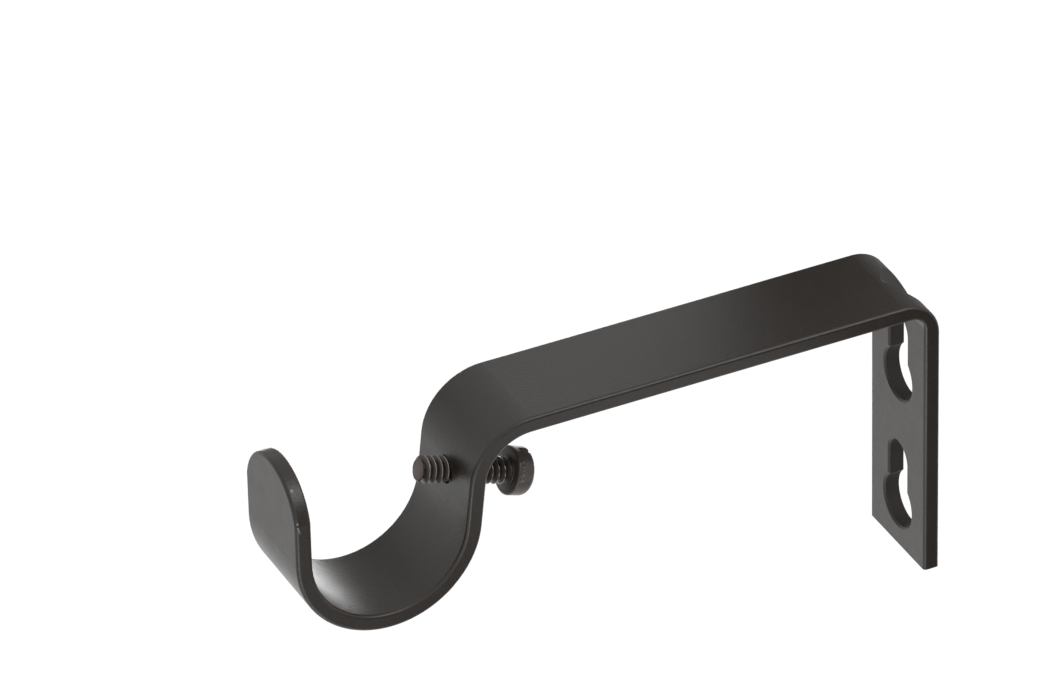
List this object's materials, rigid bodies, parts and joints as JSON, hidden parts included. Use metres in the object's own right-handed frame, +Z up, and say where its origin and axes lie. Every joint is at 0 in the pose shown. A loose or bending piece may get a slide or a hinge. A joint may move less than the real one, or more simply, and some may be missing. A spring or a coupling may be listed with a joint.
{
  "type": "curtain pole bracket",
  "caption": "Open cradle curtain pole bracket folded from flat steel strip, with keyhole wall plate, straight arm, round pole seat, upturned lip and a clamp screw through its neck.",
  "frame": {"origin": "on the wall face of the plate, in its middle plane, midway between the two keyhole entry holes", "axes": "+Y into the wall, -Y out along the arm to the pole, +Z up, +X along the pole"},
  "size_m": [0.02, 0.1239, 0.0564],
  "materials": {
    "black_powder_coat": "satin black powder coat with a fine sandy texture",
    "blackened_steel": "thin black coat over steel, worn a little brown on the thread crests"
  },
  "bodies": {
    "bracket": {"bracket_strip": "black_powder_coat"},
    "screw": {"clamp_screw": "blackened_steel"}
  },
  "joints": [
    {"name": "screw_feed", "type": "slide", "parent": "bracket", "child": "screw", "axis": [0, -0.9483, 0.3173], "range_m": [-0.0054, 0.007]}
  ]
}
